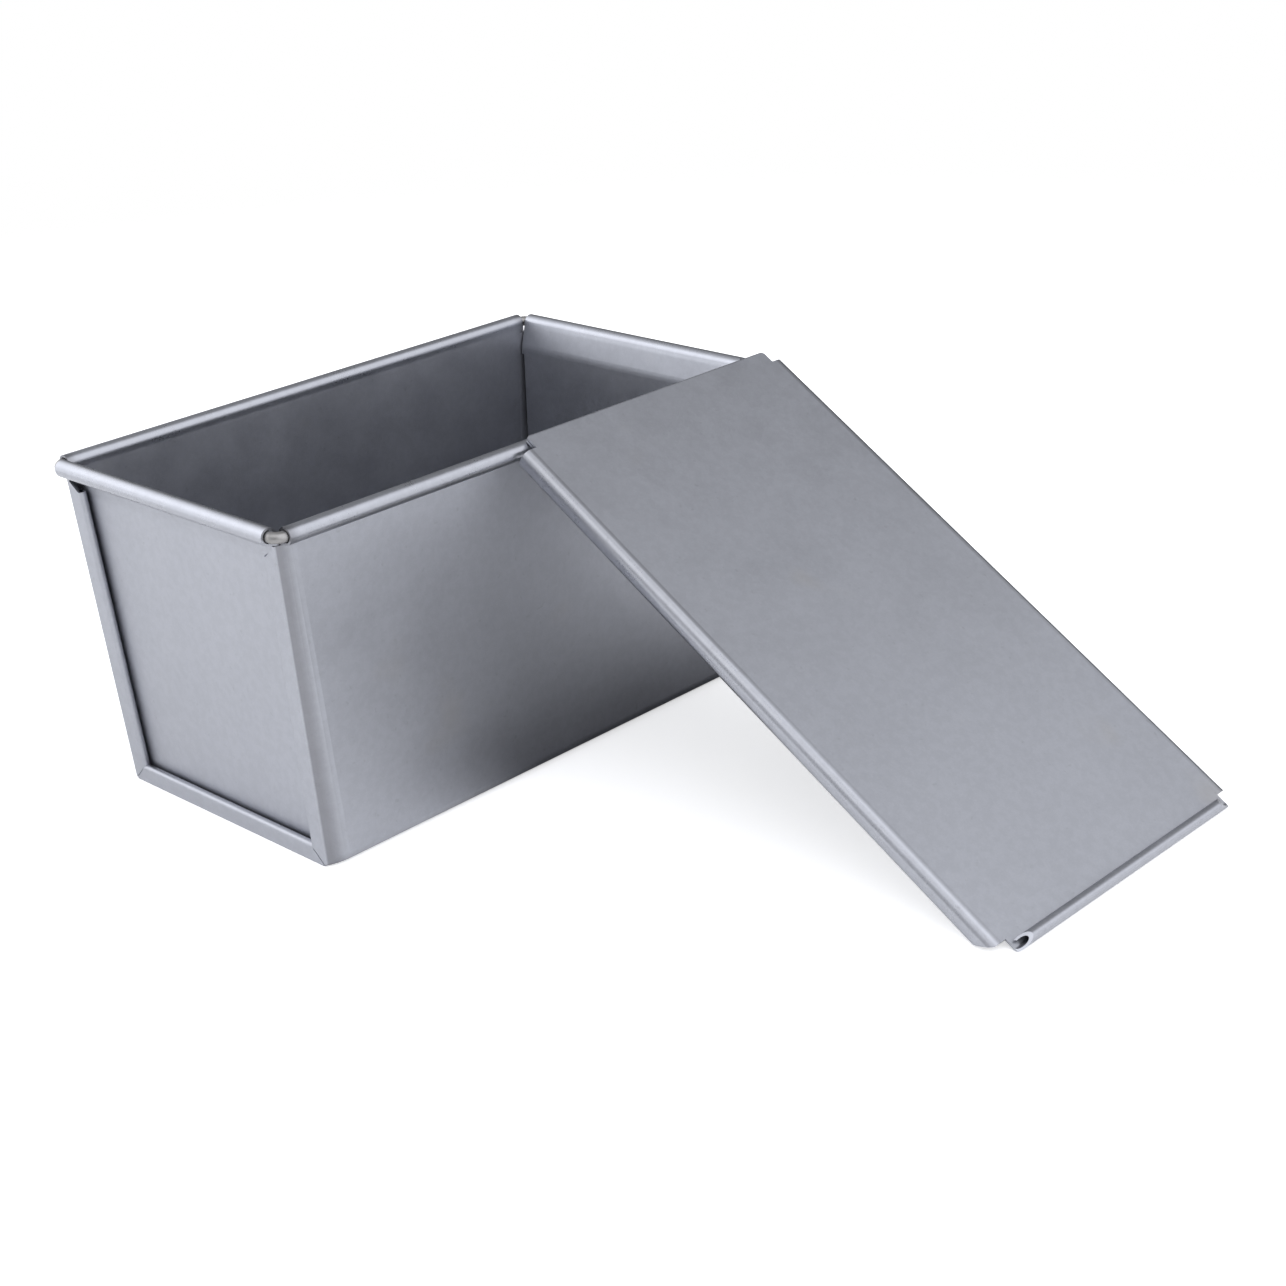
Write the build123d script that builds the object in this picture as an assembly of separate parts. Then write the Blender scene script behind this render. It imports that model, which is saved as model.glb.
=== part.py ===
from build123d import *
import math
import os

# Pullman loaf pan with its sliding lid taken off and leaning on the long rim.
# The pan's length runs along X, its width along Y, and Z is up.
# The origin is the middle of the flat base, on the surface that the pan stands on.

# Sheet and wire
sheet = 0.7
wire_diameter = 3.5
wire_play = 0.3

# Pan, measured over the rolled rim and over the folded base
rim_length = 206.0
rim_width = 116.4
pan_height = 112.0
base_length = 185.6
base_width = 106.8
seam_setback = 3.5
base_bend = 4.0
rim_corner = 2.95
roll_turn = 292.0
notch_drop = 0.5

# Folded end seams: the wrap turns in over the ends and is hemmed round their flanges
strip_width = 6.2
hem_radius = 1.35
hem_return = 2.2
seam_corner = 1.1
crease_length = 7.0
crease_top = 1.0
crease_base = 4.1
crease_shares = (1.0, 0.75, 0.5, 0.25, 0.0)
strip_gap_outer = 1.6
strip_gap_inner = 4.7
strip_web = 1.1
mitre_width = 0.4
mitre_depth = 0.3

# End panels, set in behind the seams
panel_gap = 0.5
flange_play = 0.15
flange_width = 3.2
flange_bend = 1.1
flange_inner_bend = 0.4
flange_stop = 3.6
flare_drop = 8.4
flare_radius = 12.0
panel_side_gap = 0.75

# Lid
lid_width = 120.6
lid_length = 215.7
lid_tongue = 5.4
lid_inset = 5.4
lid_tongue_corner = 2.0
lid_hem = 3.2
lid_hem_radius = 0.8
rail_bend = 3.0
rail_side = 1.0
rail_lip = 2.4
foot_flat = 3.4
foot_inset = 5.6
rail_trim = 6.5
curl_radius = 1.9
curl_turn = 285.0
curl_trim = 6.0

# How the lid leans on the rim: its rails start this far down the slope from where it touches
rail_start = 3.97
lid_offset = 50.0
rest_gap = 0.3

# How far cutting shapes run past what they cut
overrun = 2.0

# Worked out from the sizes above
roll_radius = wire_diameter / 2 + wire_play + sheet
roll_bore = roll_radius - sheet
rim_level = pan_height - roll_radius
wire_half_length = rim_length / 2 - roll_radius
wire_half_width = rim_width / 2 - roll_radius
roll_half_length = wire_half_length - rim_corner
roll_half_width = wire_half_width - rim_corner
notch_level = pan_height - 2 * roll_radius - notch_drop
seam_base = base_length / 2
seam_top = rim_length / 2 - seam_setback
end_lean = math.atan2(seam_top - seam_base, rim_level)

# A long wall starts at the base corner and runs tangent to the bore of its roll
wall_base = base_width / 2
wall_reach = math.hypot(wire_half_width - wall_base, rim_level)
wall_lean = math.atan2(wire_half_width - wall_base, rim_level) - math.asin(roll_bore / wall_reach)
wall_run = math.sqrt(wall_reach ** 2 - roll_bore ** 2)
sheet_across = sheet / math.cos(wall_lean)

strip_flat = strip_width - hem_radius
hem_depth = 2 * hem_radius
panel_front = hem_depth + panel_gap
panel_back = panel_front + sheet
flange_front = hem_radius - sheet / 2

# The lid's lean follows from its length, from the floor to where it touches the roll
rail_length = lid_length - lid_tongue - foot_flat - curl_radius
rail_depth = 2 * rail_bend + rail_side
lid_down = rail_length + foot_flat + rail_start
lid_above = roll_radius + rest_gap + 2 * lid_hem_radius + curl_radius - sheet
lid_swing = math.atan2(lid_above, lid_down)
lid_lean = math.asin((rim_level - curl_radius) / math.hypot(lid_down, lid_above)) + lid_swing
print("lid leans", round(math.degrees(lid_lean), 4))


def unit(angle):
    """Direction at an angle in degrees, in the plane of a section."""
    return Vector(math.cos(math.radians(angle)), math.sin(math.radians(angle)))


def run(length):
    return ("run", length, 0)


def bend(angle, radius):
    """Turn to the left where the angle is positive; the radius is that of the walked skin."""
    return ("bend", angle, radius)


def folded_sheet(start, heading, moves):
    """Section of a folded sheet: a walk along one skin, with the metal on the left."""
    point = Vector(*start)
    edges = []
    first = [point, point + unit(heading + 90) * sheet]
    for kind, amount, radius in moves:
        if kind == "run":
            end = point + unit(heading) * amount
            side = unit(heading + 90) * sheet
            edges.append(Line(point, end))
            edges.append(Line(point + side, end + side))
        else:
            sign = math.copysign(1, amount)
            centre = point + unit(heading + 90) * radius * sign
            angles = [heading - 90 * sign + amount * step / 2 for step in range(3)]
            far = radius - sheet * sign
            skin = [centre + unit(angle) * radius for angle in angles]
            back = [centre + unit(angle) * far for angle in angles]
            edges.append(ThreePointArc(*skin))
            edges.append(ThreePointArc(*back))
            end = skin[2]
            heading = heading + amount
        point = end
    edges.append(Line(*first))
    edges.append(Line(point, point + unit(heading + 90) * sheet))
    return make_face(edges)


def crease_share(depth):
    """Share of the crease left at a depth behind the seam face: it runs out as a parabola."""
    left = max(crease_length - depth, 0) / crease_length
    return left ** 2


def half_width(level, depth):
    """Outer face of a long wall at a height and at a depth behind the seam face."""
    crease = crease_base + (crease_top - crease_base) * level / rim_level
    return wall_base + math.tan(wall_lean) * level - crease * crease_share(depth)


def slope(level, depth):
    """Place up the leaning end of a height, at a depth behind the seam face."""
    return (level - depth * math.sin(end_lean)) / math.cos(end_lean)


def end_plane(side, depth):
    """Plane of one end, parallel to its seam face; side is -1 near and 1 far."""
    lean = Vector(math.cos(end_lean), 0, -side * math.sin(end_lean))
    return Plane(origin=Vector(side * seam_base, 0, 0) - lean * side * depth, x_dir=(0, 1, 0), z_dir=lean)


def trough(depth, inset, floor, top, radius):
    """Outline across the pan: a level floor, two rounded corners and two leaning sides."""
    low = half_width(floor, depth) - inset
    high = half_width(top, depth) - inset
    foot = slope(floor, depth)
    head = slope(top, depth)
    outline = make_face(Polyline((-low, foot), (low, foot), (high, head), (-high, head), close=True))
    corners = outline.vertices().sort_by(Axis.Y)[:2]
    return fillet(corners, radius)


def corner_radius(depth):
    """Bend between base and wall, which draws in to the seam's tight corner."""
    return base_bend - (base_bend - seam_corner) * crease_share(depth)


def pan_block(inset, floor, top, first_depth):
    """Solid between the two ends, lofted through the crease beside each seam."""
    depths = [first_depth] + [crease_length * (1 - share) for share in crease_shares[1:]]
    sections = []
    for side, order in ((-1, depths), (1, depths[::-1])):
        for depth in order:
            outline = trough(depth, inset, floor, top, corner_radius(depth) - floor)
            sections.append(end_plane(side, depth) * outline)
    return loft(sections, ruled=True)


def seam_window():
    """Opening inside the folded strips of one end, with the slanted ends of the strips."""
    under_roll = pan_height - 2 * roll_radius
    outer_level = under_roll - strip_gap_outer
    inner_level = under_roll - strip_gap_inner
    points = [
        (half_width(0, 0) - strip_flat, strip_flat),
        (half_width(inner_level, 0) - strip_flat, slope(inner_level, 0)),
        (half_width(outer_level, 0) - strip_web, slope(outer_level, 0)),
        (half_width(pan_height, 0) - strip_web, slope(pan_height, 0)),
    ]
    mirrored = [(-across, up) for across, up in reversed(points)]
    return points, make_face(Polyline(*points, *mirrored, close=True))


def seam_hems(corner, head):
    """Rounded hems on the three inner edges of the strips, mitred at the lower corners."""
    profile = folded_sheet((0, 0), 0, [bend(180, hem_radius), run(hem_return)])
    spare = hem_return + overrun
    rise = Vector(head[0] - corner[0], head[1] - corner[1])
    up = rise.normalized()
    inward = Vector(-up.Y, up.X)
    foot = Vector(*corner)
    side_plane = Plane(origin=foot - up * spare, x_dir=inward, z_dir=up)
    side_hem = extrude(side_plane * profile, rise.length + spare)
    base_plane = Plane(origin=(-corner[0] - spare, corner[1], 0), x_dir=(0, 1, 0), z_dir=(1, 0, 0))
    base_hem = extrude(base_plane * profile, 2 * (corner[0] + spare))
    bisector = (inward + Vector(0, 1)).normalized()
    mitre = Plane(origin=foot, x_dir=(0, 0, 1), z_dir=(-bisector.Y, bisector.X, 0))
    side_hem = split(side_hem, bisect_by=mitre, keep=Keep.BOTTOM)
    base_hem = split(base_hem, bisect_by=mitre, keep=Keep.TOP)
    base_hem = split(base_hem, bisect_by=mirror_plane(mitre), keep=Keep.TOP)
    return base_hem, side_hem, mirror(side_hem, about=Plane.YZ)


def mitre_groove(corner):
    """Thin groove where the side strip and the base strip meet, from the hem to the outer corner."""
    outer = Vector(half_width(0, 0), 0)
    inner = Vector(*corner)
    span = outer - inner
    angle = math.degrees(math.atan2(span.Y, span.X))
    place = (Align.MIN, Align.CENTER, Align.CENTER)
    blade = Box(span.length + overrun, mitre_width, 2 * mitre_depth, align=place)
    return Pos(inner.X, inner.Y, 0) * Rot(0, 0, angle) * blade


def mirror_plane(plane):
    """The same plane on the other side of the middle."""
    origin = Vector(-plane.origin.X, plane.origin.Y, plane.origin.Z)
    return Plane(origin=origin, x_dir=(0, 0, 1), z_dir=(-plane.z_dir.X, plane.z_dir.Y, plane.z_dir.Z))


def rim_roll():
    """Top of one long wall, rolled outward round the wire."""
    start = Vector(wall_base, 0)
    heading = 90 - math.degrees(wall_lean)
    section = folded_sheet(start, heading, [run(wall_run), bend(-roll_turn, roll_bore)])
    roll = extrude(Plane.YZ * section, roll_half_length, both=True)
    return split(roll, bisect_by=Plane.XY.offset(notch_level), keep=Keep.TOP)


def body_wrap():
    """Base and long walls bent from one sheet, with rolled rims and folded end seams."""
    outside = pan_block(0, 0, notch_level, 0)
    inside = pan_block(sheet_across, sheet, pan_height, sheet)
    wrap = outside - inside
    points, window = seam_window()
    window = extrude(Plane.XY.offset(-overrun) * window, overrun + hem_radius)
    hems = seam_hems(points[0], points[1])
    groove = mitre_groove(points[0])
    cuts = [window, groove, mirror(groove, about=Plane.YZ)]
    for side in (-1, 1):
        place = end_plane(-1, 0)
        cutters = [place * cut for cut in cuts]
        folds = [place * hem for hem in hems]
        if side > 0:
            cutters = [mirror(cutter, about=Plane.YZ) for cutter in cutters]
            folds = [mirror(fold, about=Plane.YZ) for fold in folds]
        wrap = wrap - cutters
        for fold in folds:
            wrap = wrap + fold
    roll = rim_roll()
    wrap = wrap + roll + mirror(roll, about=Plane.XZ)
    return wrap


def panel_outline(inset, top, radius, spare=0):
    """Outline of an end panel over its flanges, drawn in by an inset."""
    floor = sheet + flange_play + inset
    play = sheet_across + flange_play + inset
    low = half_width(floor, sheet) - play
    high = half_width(top, sheet) - play
    foot = slope(floor, flange_front)
    head = slope(top, flange_front)
    points = [(-high, head), (-low, foot), (low, foot), (high, head)]
    if spare > 0:
        points = points + [(high, head + spare), (-high, head + spare)]
    outline = make_face(Polyline(*points, close=True))
    corners = outline.vertices().sort_by(Axis.Y)[:2]
    return fillet(corners, radius)


def panel_tray():
    """Flat of an end panel with the flanges that the seams close over, up to the strips' ends."""
    top = pan_height - 2 * roll_radius - strip_gap_inner - flange_stop
    corner = corner_radius(sheet) - sheet - flange_play
    outer = extrude(panel_outline(0, top, corner), panel_back - flange_front)
    rounded = outer.edges().filter_by(lambda edge: edge.center().Y < slope(top, 0) - flange_bend)
    back_edges = rounded.group_by(Axis.Z)[-1]
    front_edges = rounded.group_by(Axis.Z)[0]
    outer = fillet(back_edges + front_edges, flange_bend)
    hollow_outline = panel_outline(sheet, top, flange_inner_bend, overrun)
    hollow = extrude(hollow_outline, panel_front - flange_front - sheet)
    mouth_outline = panel_outline(sheet + flange_width, top, flange_inner_bend, overrun)
    mouth = extrude(Plane.XY.offset(-overrun) * mouth_outline, overrun + panel_front - flange_front)
    tray = outer - Plane.XY.offset(sheet) * hollow - mouth
    return Plane.XY.offset(flange_front) * tray


def panel_top():
    """Upper part of an end panel, flared out and rolled round the wire."""
    start_level = pan_height - 2 * roll_radius - strip_gap_inner - flange_stop
    face = end_plane(-1, panel_back)
    start = face.from_local_coords((0, slope(start_level, flange_front)))
    flare = face.from_local_coords((0, slope(rim_level - flare_drop, panel_back)))
    heading = 90 + math.degrees(end_lean)
    centre = Vector(-wire_half_length, rim_level)
    reach = Vector(centre.X - flare.X, centre.Y - flare.Z)
    aim = math.degrees(math.atan2(reach.Y, reach.X) - math.asin(roll_radius / reach.length))
    setback = flare_radius * math.tan(math.radians(aim - heading) / 2)
    straight = math.hypot(flare.X - start.X, flare.Z - start.Z) - setback
    tangent = math.sqrt(reach.length ** 2 - roll_radius ** 2) - setback
    moves = [
        run(straight),
        bend(aim - heading, flare_radius),
        run(tangent),
        bend(roll_turn, roll_radius),
    ]
    section = folded_sheet((start.X, start.Z), heading, moves)
    reach_half = half_width(start_level, crease_length) - sheet_across - panel_side_gap
    top = extrude(Plane.XZ * section, reach_half, both=True)
    for side in (-1, 1):
        corner = Box(rim_length, rim_width, pan_height, align=(Align.CENTER, Align.MIN, Align.MIN))
        corner = Pos(0, roll_half_width, notch_level) * corner
        if side < 0:
            corner = mirror(corner, about=Plane.XZ)
        top = top - corner
    return top


def end_panel(side):
    """One end: a flat panel with three folded flanges and a rolled top."""
    panel = end_plane(-1, 0) * panel_tray() + panel_top()
    if side > 0:
        panel = mirror(panel, about=Plane.YZ)
    return panel


def rim_wire():
    """Closed loop of round wire inside the rolled rim, bare at its four corner bends."""
    outline = RectangleRounded(2 * wire_half_length, 2 * wire_half_width, rim_corner)
    path = (Pos(0, 0, rim_level) * outline).face().outer_wire()
    section = Plane(origin=path @ 0, z_dir=path % 0) * Circle(wire_diameter / 2)
    return sweep(section, path=path)


def along_edge(section, side):
    """Section of a rail run down one long edge of the lid, its foot end trimmed off at a slant."""
    rail = extrude(Plane.XZ * section, rail_length)
    below = -rail_depth - overrun
    trimmed = rail_trim - rail_length
    points = [(-rail_length, -sheet), (-rail_length, below), (trimmed, below), (trimmed, -rail_depth)]
    rail = rail - extrude(Plane.YZ * make_face(Polyline(*points, close=True)), lid_width, both=True)
    if side > 0:
        rail = mirror(rail, about=Plane.YZ)
    return rail


def lid_rail(side):
    """Upper half of a rail: from where the flat ends, round the bend to halfway down the side."""
    moves = [bend(90, rail_bend), run(rail_side / 2)]
    return along_edge(folded_sheet((rail_bend - lid_width / 2, 0), 180, moves), side)


def lid_lip(side):
    """Lower half of a rail: from halfway down the side, round to the lip that goes under a roll."""
    moves = [run(rail_side / 2), bend(90, rail_bend), run(rail_lip)]
    return along_edge(folded_sheet((-lid_width / 2, -rail_depth / 2), 270, moves), side)


def lid_tongue_plate():
    """Tongue past the rails, with its edge folded back underneath."""
    reach = lid_tongue - lid_hem_radius
    moves = [run(lid_hem), bend(180, lid_hem_radius), run(reach)]
    section = folded_sheet((reach - lid_hem, -2 * lid_hem_radius), 0, moves)
    half = lid_width / 2 - lid_inset
    tongue = extrude(Plane.YZ * section, half, both=True)
    plan = RectangleRounded(2 * half, 2 * (lid_tongue + lid_tongue_corner), lid_tongue_corner)
    plan = Pos(0, -lid_tongue_corner, -overrun) * plan
    return tongue & extrude(plan, 2 * overrun)


def lid_foot():
    """Strip past the rails at the foot, rolled up and back over the outer face."""
    section = folded_sheet((0, 0), 180, [run(foot_flat), bend(-curl_turn, curl_radius - sheet)])
    half = lid_width / 2 - foot_inset
    foot = extrude(Plane.YZ * section, half, both=True)
    top = 2 * curl_radius - sheet + overrun
    draw = curl_trim * top / (top - overrun)
    points = [(half - draw, top), (half, 0), (half, -sheet)]
    mirrored = [(-across, up) for across, up in reversed(points)]
    front = make_face(Polyline(*points, *mirrored, close=True))
    return foot & extrude(Plane.XZ * front, foot_flat + 2 * curl_radius, both=True)


def lid():
    """Flat of the lid between its rails, with the tongue and the rolled foot."""
    place = (Align.CENTER, Align.MAX, Align.MAX)
    flat = Box(lid_width - 2 * rail_bend, rail_length, sheet, align=place)
    return flat + lid_tongue_plate() + Pos(0, -rail_length, 0) * lid_foot()


def lid_place():
    """Where the lid lies: its foot on the floor and its tongue on the long rim."""
    normal = Vector(0, -math.sin(lid_lean), math.cos(lid_lean))
    rise = Vector(0, math.cos(lid_lean), math.sin(lid_lean))
    roll_centre = Vector(0, -wire_half_width, rim_level)
    touch = roll_centre + normal * (roll_radius + rest_gap + 2 * lid_hem_radius)
    head = touch - rise * rail_start
    return Plane(origin=Vector(lid_offset, head.Y, head.Z), x_dir=(1, 0, 0), z_dir=normal)


pieces = {
    "body_wrap": body_wrap(),
    "end_panel_near": end_panel(-1),
    "end_panel_far": end_panel(1),
    "rim_wire": rim_wire(),
    "lid": lid_place() * lid(),
    "lid_rail_near": lid_place() * lid_rail(-1),
    "lid_rail_far": lid_place() * lid_rail(1),
    "lid_lip_near": lid_place() * lid_lip(-1),
    "lid_lip_far": lid_place() * lid_lip(1),
}

os.makedirs("parts", exist_ok=True)
for name, piece in pieces.items():
    export_step(piece, f"parts/{name}.step")
    print(name, len(piece.solids()), "solid, volume", round(piece.volume, 1))
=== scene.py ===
import math

import bpy
from mathutils import Matrix, Vector


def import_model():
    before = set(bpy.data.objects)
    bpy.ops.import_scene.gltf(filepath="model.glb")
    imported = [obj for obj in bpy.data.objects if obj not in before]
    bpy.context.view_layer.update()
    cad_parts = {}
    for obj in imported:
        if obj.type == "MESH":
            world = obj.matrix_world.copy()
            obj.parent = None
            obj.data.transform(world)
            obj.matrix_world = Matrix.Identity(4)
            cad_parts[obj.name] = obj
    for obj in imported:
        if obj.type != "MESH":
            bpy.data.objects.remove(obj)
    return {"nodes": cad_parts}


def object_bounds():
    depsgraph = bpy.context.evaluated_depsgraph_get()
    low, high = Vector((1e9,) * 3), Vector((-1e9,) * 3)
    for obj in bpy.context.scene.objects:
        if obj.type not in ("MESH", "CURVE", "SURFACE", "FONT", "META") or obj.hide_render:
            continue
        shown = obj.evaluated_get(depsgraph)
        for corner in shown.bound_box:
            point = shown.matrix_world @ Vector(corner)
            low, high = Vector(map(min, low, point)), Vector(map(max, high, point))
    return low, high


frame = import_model()
cad_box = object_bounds()

# The photo's camera: angles in degrees, lengths in metres, focal length in pixels
IMAGE_WIDTH = 1286
SENSOR = 36.0
AZIMUTH = -44.906
ELEVATION = 23.08
ROLL = -3.403
DISTANCE = 0.7613
FOCAL = 2281.7
TARGET_HEIGHT = 0.05
TARGET_RIGHT = 0.06858
TARGET_UP = -0.02352
CLIP = (0.01, 50)

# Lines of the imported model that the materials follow, in metres
SEAM_BASE = 0.0928
SEAM_LEAN = 0.06133
RIM_LEVEL = 0.10925
RIM_HALF_LENGTH = 0.10025
RIM_HALF_WIDTH = 0.05545
LID_LEAN = 31.9288
LID_MIDDLE = 0.05
LID_CREASE = 0.0573
LID_TONGUE = 0.00715
LID_FOOT = -0.2009

# Where each mark on the steel starts and ends, in metres, and how dark it is; the fold, crease,
# tongue and head marks are painted shade, the roll and rail marks only make the steel smoother
# Painted shade in the long walls behind each seam
FOLD_START = (0.0002, 0.0008)
FOLD_END = (0.0015, 0.0068)
FOLD_WALL = (0.0475, 0.0485)
FOLD_PAINTED_SHADE = 0.5
ROLL_EDGE = (0.0029, 0.0034)
# Painted shade on the lid: lines at the rail bends and the tongue, and a darker head
CREASE_WIDTH = (0.0003, 0.0008)
CREASE_REACH = (-0.13, -0.06)
CREASE_PAINTED_SHADE = (0.12, 0.42)
TONGUE_WIDTH = (0.0002, 0.0012)
TONGUE_PAINTED_SHADE = 0.12
HEAD_SHADE_REACH = (-0.16, 0.0)
HEAD_PAINTED_SHADE = 0.12
RAIL_EDGE = (0.0575, 0.0585)
FOOT_BLEND = 0.0008
# Colour of the painted shade marks
PAINTED_SHADE_TONE = (0.1, 0.095, 0.1, 1)

# Steel
STEEL = (0.443, 0.454, 0.494)
STEEL_ROUGH = 0.44
WIRE = (0.32, 0.31, 0.3)
WIRE_ROUGH = 0.36
BURNISH = 0.13
BUMP_DEPTH = 0.00004

# Lights of the room: direction, where each starts and is full, and its level
ROOM_TINT = (0.952, 0.966, 1.0, 1)
ROOM_LEVEL = 0.55
BEHIND = (-0.36, 0.93, 0)
BEHIND_SPREAD = (0.55, 0.8)
BEHIND_TOP = (0.6, 0.85)
BEHIND_LEVEL = 1.6
BEHIND_FOOT = (0.1, 0.45)
BEHIND_FOOT_SHARE = 0.65
FRONT = (0.25, -0.85, 0.45)
FRONT_SPREAD = (0.45, 0.8)
FRONT_LEVEL = 1.09
LEFT = (-0.5, -0.1, 0.86)
LEFT_SPREAD = (0.62, 0.97)
LEFT_LEVEL = 0.36
DIM_RIGHT = (0.2, 0.7)
DIM_RIGHT_LEVEL = 0.5
DIM_TOP = (0.1, 0.5)
DIM_TOP_SHARE = 0.5

# Floor, and the painted shadow on it that follows the lid
FLOOR_HALF = 3.0
FLOOR_GAP = 0.0002
FLOOR_FADE = (0.45, 0.9)
UNDER_LID_FRONT = (-0.13, -0.08)
UNDER_LID_LEFT = (-0.06, 0.0)
UNDER_LID_RIGHT = (0.11, 0.17)
UNDER_LID_SHADOW_TONE = (0.17, 0.17, 0.18, 1)
SEEN_GLOW = 0.45
# Painted light: glow of the open floor away from the lid
OPEN_GLOW = 0.1


def camera():
    """Camera at the photo's angle, rolled a little as the photo is."""
    azimuth, elevation, roll = (math.radians(a) for a in (AZIMUTH, ELEVATION, ROLL))
    flat = math.cos(elevation)
    back = Vector((math.sin(azimuth) * flat, -math.cos(azimuth) * flat, math.sin(elevation)))
    right = Vector((0, 0, 1)).cross(back).normalized()
    up = back.cross(right)
    target = Vector((0, 0, TARGET_HEIGHT)) + right * TARGET_RIGHT + up * TARGET_UP
    across = right * math.cos(roll) + up * math.sin(roll)
    upright = up * math.cos(roll) - right * math.sin(roll)
    data = bpy.data.cameras.new("photo_camera")
    data.sensor_width = SENSOR
    data.lens = FOCAL / IMAGE_WIDTH * SENSOR
    data.clip_start, data.clip_end = CLIP
    obj = bpy.data.objects.new("photo_camera", data)
    matrix = Matrix((across, upright, back)).transposed().to_4x4()
    matrix.translation = target + back * DISTANCE
    obj.matrix_world = matrix
    bpy.context.collection.objects.link(obj)
    bpy.context.scene.camera = obj


class Nodes:
    """Short calls for building one node tree."""

    def __init__(self, tree):
        self.tree = tree
        tree.nodes.clear()

    def add(self, kind, inputs=None, **settings):
        node = self.tree.nodes.new(kind)
        for key, value in settings.items():
            setattr(node, key, value)
        for key, value in (inputs or {}).items():
            self.put(node.inputs[key], value)
        return node

    def put(self, socket, value):
        if isinstance(value, bpy.types.NodeSocket):
            self.tree.links.new(value, socket)
        elif isinstance(value, bpy.types.Node):
            self.tree.links.new(value.outputs[0], socket)
        else:
            socket.default_value = value

    def math(self, operation, a, b=0.0):
        node = self.add("ShaderNodeMath", operation=operation)
        self.put(node.inputs[0], a)
        self.put(node.inputs[1], b)
        return node.outputs[0]

    def noise(self, vector, scale, detail=3.0, rough=0.55):
        inputs = {"Vector": vector, "Scale": scale, "Detail": detail, "Roughness": rough}
        return self.add("ShaderNodeTexNoise", inputs).outputs[0]

    def ramp(self, value, low, high, out_low, out_high):
        inputs = {"Value": value, "From Min": low, "From Max": high,
                  "To Min": out_low, "To Max": out_high}
        node = self.add("ShaderNodeMapRange", inputs, interpolation_type="SMOOTHSTEP")
        return node.outputs[0]

    def mix(self, share, a, b):
        node = self.add("ShaderNodeMix", data_type="RGBA")
        self.put(node.inputs[0], share)
        self.put(node.inputs[6], a)
        self.put(node.inputs[7], b)
        return node.outputs[2]

    def split(self, vector):
        """The x, y and z of a vector."""
        return self.add("ShaderNodeSeparateXYZ", {"Vector": vector}).outputs

    def along(self, place, direction):
        """Distance along a direction."""
        node = self.add("ShaderNodeVectorMath", {0: place, 1: direction}, operation="DOT_PRODUCT")
        return node.outputs["Value"]

    def beside(self, value, centre):
        """Distance from a value, on either side."""
        return self.math("ABSOLUTE", self.math("SUBTRACT", value, centre))


def stroke(n, value, centre, half, soft):
    """One on a line and nothing away from it."""
    return n.ramp(n.beside(value, centre), half, half + soft, 1.0, 0.0)


def lid_place(n, place):
    """How far a place is from the lid's middle line, and how far it is up along the lid."""
    lean = math.radians(LID_LEAN)
    out = n.beside(n.along(place, (1, 0, 0)), LID_MIDDLE)
    return out, n.along(place, (0, math.cos(lean), math.sin(lean)))


def seam_painted_shade(n, place):
    """Painted shade: the long walls darkened in a band just behind each seam face, where the fold's
    curve reflects dark surroundings.
    """
    x, y, z = n.split(place)
    face = n.math("ADD", n.math("MULTIPLY", z, SEAM_LEAN), SEAM_BASE)
    depth = n.math("SUBTRACT", face, n.math("ABSOLUTE", x))
    starts = n.ramp(depth, *FOLD_START, 0.0, 1.0)
    ends = n.ramp(depth, *FOLD_END, 1.0, 0.0)
    fold = n.math("MULTIPLY", starts, ends)
    wall = n.ramp(n.math("ABSOLUTE", y), *FOLD_WALL, 0.0, 1.0)
    return n.math("MULTIPLY", n.math("MULTIPLY", fold, wall), FOLD_PAINTED_SHADE)


def on_roll(n, place):
    """One on the rolled rim, measured from the wire's middle line, and nothing below it."""
    x, y, z = n.split(place)
    off_end = n.beside(n.math("ABSOLUTE", x), RIM_HALF_LENGTH)
    off_side = n.beside(n.math("ABSOLUTE", y), RIM_HALF_WIDTH)
    off = n.math("MINIMUM", off_end, off_side)
    over = n.math("SUBTRACT", z, RIM_LEVEL)
    squares = n.math("ADD", n.math("MULTIPLY", off, off), n.math("MULTIPLY", over, over))
    return n.ramp(n.math("SQRT", squares), *ROLL_EDGE, 1.0, 0.0)


def lid_painted_shade(n, place):
    """Painted shade: soft darker lines at the rails' bends and past the tongue's folded edge, and
    the lid darker towards its head.
    """
    out, along = lid_place(n, place)
    fade = n.ramp(along, *CREASE_REACH, *CREASE_PAINTED_SHADE)
    rails = n.math("MULTIPLY", stroke(n, out, LID_CREASE, *CREASE_WIDTH), fade)
    tongue = n.math("MULTIPLY", stroke(n, along, LID_TONGUE, *TONGUE_WIDTH), TONGUE_PAINTED_SHADE)
    head_shade = n.ramp(along, *HEAD_SHADE_REACH, 0.0, HEAD_PAINTED_SHADE)
    return n.math("MAXIMUM", n.math("MAXIMUM", rails, tongue), head_shade)


def on_rail(n, place):
    """One on the lid's rails and on its rolled foot, and nothing on the flat."""
    out, along = lid_place(n, place)
    rail = n.ramp(out, *RAIL_EDGE, 0.0, 1.0)
    return n.math("MAXIMUM", rail, n.ramp(along, LID_FOOT - FOOT_BLEND, LID_FOOT, 1.0, 0.0))


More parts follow.
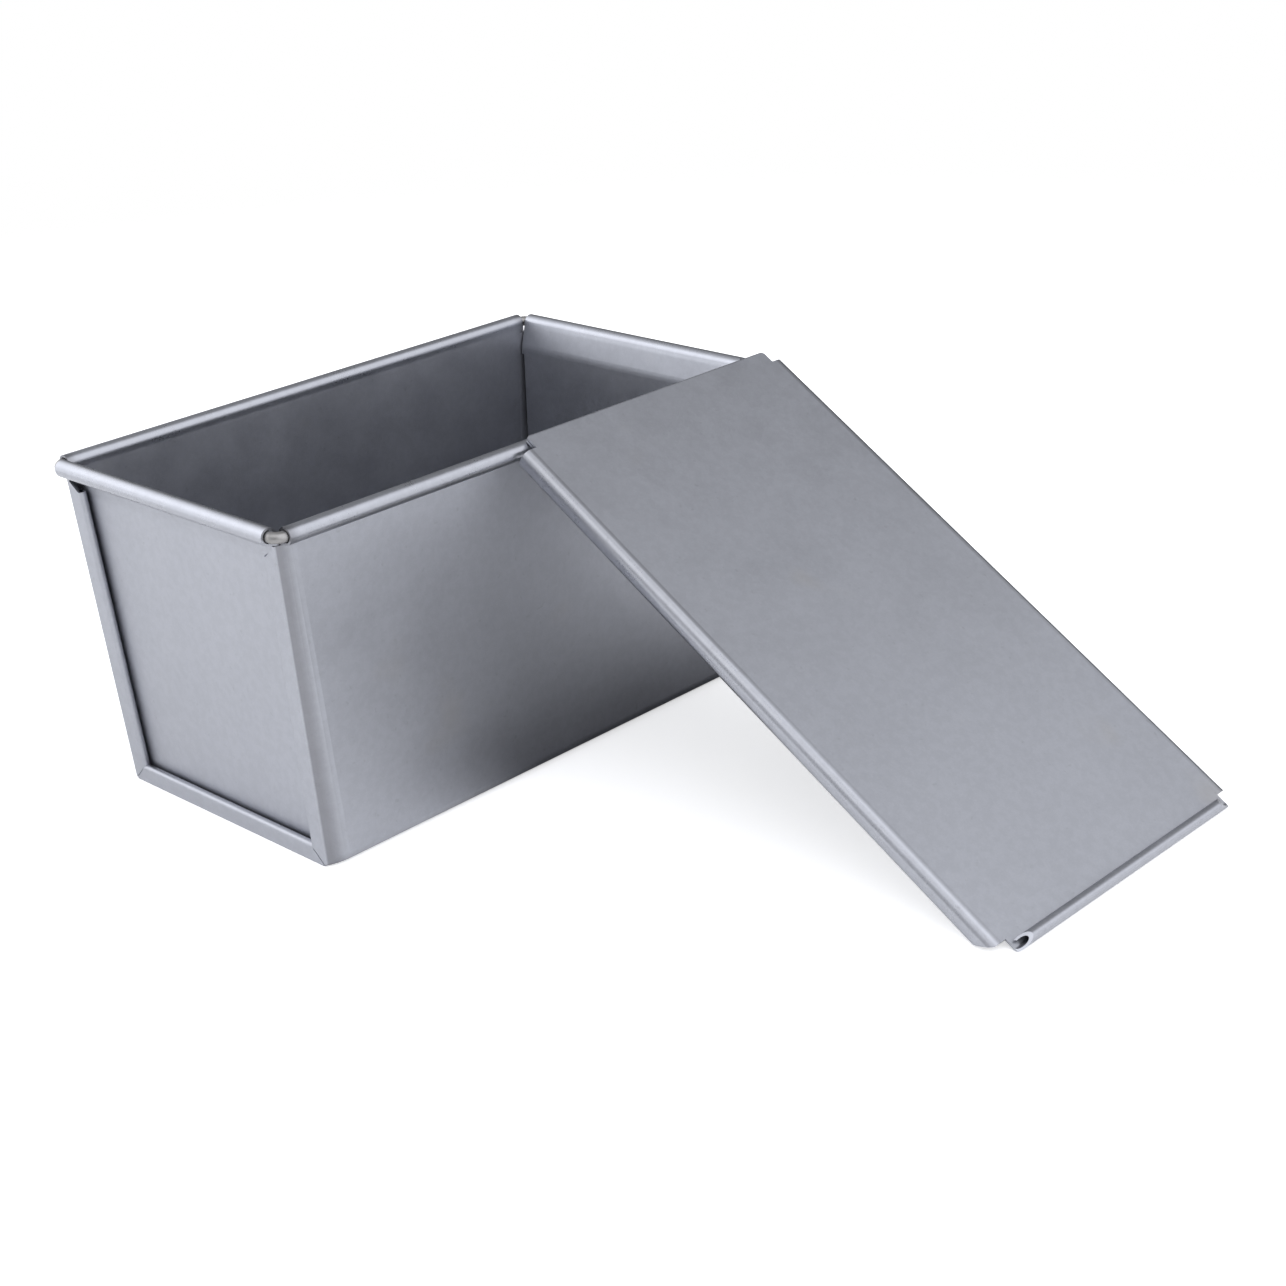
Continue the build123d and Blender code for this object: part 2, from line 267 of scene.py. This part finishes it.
def aluminised(name, tone, rough, seed, shade=None, burnished=None):
    """Satin aluminised steel: spangle, clouding, stains and specks, smoother where it is rolled."""
    material = bpy.data.materials.new(name)
    material.use_nodes = True
    n = Nodes(material.node_tree)
    own = n.add("ShaderNodeTexCoord").outputs["Object"]
    offset = (seed, seed * 0.7, -seed)
    place = n.add("ShaderNodeMapping", {"Vector": own, "Location": offset}).outputs[0]
    cloud = n.noise(place, 22, 4, 0.6)
    patch = n.noise(place, 75, 3, 0.5)
    grain = n.noise(place, 1500, 2, 0.7)
    speck = n.noise(place, 420, 2, 0.5)
    stain = n.noise(place, 30, 2, 0.5)
    mottle = n.noise(place, 340, 2, 0.6)
    darker, lighter = ([c * share for c in tone] + [1] for share in (0.98, 1.02))
    base = n.mix(n.ramp(cloud, 0.3, 0.7, 0, 1), darker, lighter)
    for pattern, low, high, share, colour in (
            (grain, 0.35, 0.75, 0.12, (0.7, 0.71, 0.73, 1)),
            (mottle, 0.35, 0.65, 0.16, (0.33, 0.33, 0.36, 1)),
            (speck, 0.66, 0.8, 0.3, (0.3, 0.3, 0.32, 1)),
            (stain, 0.66, 0.8, 0.2, (0.46, 0.42, 0.36, 1))):
        base = n.mix(n.ramp(pattern, low, high, 0.0, share), base, colour)
    # Painted shade: darker marks mixed into the colour where the shade mask is on
    if shade:
        base = n.mix(shade(n, own), base, PAINTED_SHADE_TONE)
    gloss = n.ramp(cloud, 0.25, 0.75, rough - 0.015, rough + 0.015)
    gloss = n.math("ADD", gloss, n.ramp(patch, 0.3, 0.7, -0.02, 0.02))
    gloss = n.math("ADD", gloss, n.ramp(grain, 0.3, 0.7, -0.03, 0.03))
    if burnished:
        gloss = n.math("SUBTRACT", gloss, n.math("MULTIPLY", burnished(n, own), BURNISH))
    height = n.math("ADD", n.math("MULTIPLY", grain, 0.6), n.math("MULTIPLY", speck, 0.5))
    bump = n.add("ShaderNodeBump", {"Height": height, "Strength": 0.25, "Distance": BUMP_DEPTH})
    shader = n.add("ShaderNodeBsdfPrincipled",
                   {"Base Color": base, "Roughness": gloss, "Normal": bump, "Metallic": 1.0})
    n.add("ShaderNodeOutputMaterial", {"Surface": shader})
    return material


def world():
    """Grey room, brighter behind, in front and above on the left; the camera sees plain white."""
    studio = bpy.data.worlds.new("studio")
    studio.use_nodes = True
    bpy.context.scene.world = studio
    n = Nodes(studio.node_tree)
    way = n.add("ShaderNodeTexCoord").outputs["Generated"]
    x, y, z = n.split(way)
    behind = n.ramp(n.along(way, BEHIND), *BEHIND_SPREAD, 0.0, 1.0)
    behind = n.math("MULTIPLY", behind, n.ramp(z, *BEHIND_TOP, BEHIND_LEVEL, 0.0))
    behind = n.math("MULTIPLY", behind, n.ramp(z, *BEHIND_FOOT, BEHIND_FOOT_SHARE, 1.0))
    front = n.ramp(n.along(way, FRONT), *FRONT_SPREAD, 0.0, FRONT_LEVEL)
    dim = n.math("MULTIPLY", n.ramp(x, *DIM_RIGHT, 0.0, DIM_RIGHT_LEVEL),
                 n.ramp(z, *DIM_TOP, 1.0, DIM_TOP_SHARE))
    left = n.ramp(n.along(way, LEFT), *LEFT_SPREAD, 0.0, LEFT_LEVEL)
    light = n.math("ADD", n.math("ADD", behind, front), left)
    light = n.math("SUBTRACT", light, n.math("SUBTRACT", dim, ROOM_LEVEL))
    path = n.add("ShaderNodeLightPath")
    room = n.add("ShaderNodeBackground", {"Color": ROOM_TINT, "Strength": light})
    white = n.add("ShaderNodeBackground", {"Color": (1, 1, 1, 1), "Strength": 1.0})
    mix = n.add("ShaderNodeMixShader", {0: path.outputs["Is Camera Ray"], 1: room, 2: white})
    n.add("ShaderNodeOutputWorld", {"Surface": mix})


def under_lid(n, seen):
    """Painted shadow mask: one on the floor under the leaning lid, wherever the lid is, for rays
    not from the camera.
    """
    own = n.add("ShaderNodeTexCoord", object=frame["nodes"]["lid"]).outputs["Object"]
    x, y, z = n.split(own)
    under = n.math("MULTIPLY", n.ramp(y, *UNDER_LID_FRONT, 0, 1), n.ramp(x, *UNDER_LID_LEFT, 0, 1))
    under = n.math("MULTIPLY", under, n.ramp(x, *UNDER_LID_RIGHT, 1, 0))
    return n.math("MULTIPLY", under, n.math("SUBTRACT", 1.0, seen))


def floor():
    """Large pale floor that keeps the shadows, with a painted shadow under the lid and a painted
    glow elsewhere, and fades into the white far from the pan.
    """
    mesh = bpy.data.meshes.new("floor")
    signs = ((-1, -1), (1, -1), (1, 1), (-1, 1))
    mesh.from_pydata([(a * FLOOR_HALF, b * FLOOR_HALF, 0) for a, b in signs], [], [(0, 1, 2, 3)])
    obj = bpy.data.objects.new("floor", mesh)
    obj.location.z = cad_box[0][2] - FLOOR_GAP
    bpy.context.collection.objects.link(obj)
    material = bpy.data.materials.new("pale_floor")
    material.use_nodes = True
    n = Nodes(material.node_tree)
    place = n.add("ShaderNodeTexCoord").outputs["Object"]
    seen = n.add("ShaderNodeLightPath").outputs["Is Camera Ray"]
    under = under_lid(n, seen)
    tone = n.mix(n.noise(place, 3), (0.93, 0.93, 0.93, 1), (0.95, 0.95, 0.95, 1))
    # Painted shadow: the floor darker under the lid for rays not from the camera
    tone = n.mix(under, tone, UNDER_LID_SHADOW_TONE)
    # Painted light: the floor glows a little everywhere but under the lid, and more for the camera
    open_glow = n.math("MULTIPLY", n.math("SUBTRACT", 1.0, under), OPEN_GLOW)
    glow = n.math("ADD", n.math("MULTIPLY", seen, SEEN_GLOW), open_glow)
    shader = n.add("ShaderNodeBsdfPrincipled",
                   {"Base Color": tone, "Roughness": 0.9, "Specular IOR Level": 0.1,
                    "Emission Color": (1, 1, 1, 1), "Emission Strength": glow})
    reach = n.add("ShaderNodeVectorMath", {0: place}, operation="LENGTH").outputs["Value"]
    clear = n.add("ShaderNodeBsdfTransparent")
    share = n.ramp(reach, *FLOOR_FADE, 0.0, 1.0)
    fade = n.add("ShaderNodeMixShader", {0: share, 1: shader, 2: clear})
    n.add("ShaderNodeOutputMaterial", {"Surface": fade})
    mesh.materials.append(material)


def softbox(name, place, aim, size, power):
    """Soft rectangular lamp pointed at a place."""
    data = bpy.data.lights.new(name, "AREA")
    data.shape = "RECTANGLE"
    data.size, data.size_y = size
    data.energy = power
    obj = bpy.data.objects.new(name, data)
    direction = Vector(aim) - Vector(place)
    obj.location = place
    obj.rotation_euler = direction.to_track_quat("-Z", "Y").to_euler()
    bpy.context.collection.objects.link(obj)


def dress():
    """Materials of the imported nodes. The lid's five nodes are one sheet and share one."""
    # Painted shade lines and a darker head in the lid's colour
    lid_steel = aluminised("lid_steel", STEEL, STEEL_ROUGH, 0.83, lid_painted_shade, on_rail)
    looks = {
        # Painted shade in the wrap's colour behind each seam
        "body_wrap": aluminised("wrap_steel", STEEL, STEEL_ROUGH, 0.0, seam_painted_shade, on_roll),
        "end_panel_near": aluminised("end_near_steel", STEEL, STEEL_ROUGH, 0.31, None, on_roll),
        "end_panel_far": aluminised("end_far_steel", STEEL, STEEL_ROUGH, 0.57, None, on_roll),
        "lid": lid_steel,
        "lid_rail_near": lid_steel,
        "lid_rail_far": lid_steel,
        "lid_lip_near": lid_steel,
        "lid_lip_far": lid_steel,
        "rim_wire": aluminised("wire_steel", WIRE, WIRE_ROUGH, 1.1),
    }
    for node, material in looks.items():
        obj = frame["nodes"][node]
        obj.data.materials.clear()
        obj.data.materials.append(material)


camera()
world()
floor()
softbox("left", place=(-0.95, -0.1, 1.35), aim=(0, 0, 0), size=(1.0, 1.0), power=2)
dress()

bpy.context.scene.view_settings.view_transform = "Standard"
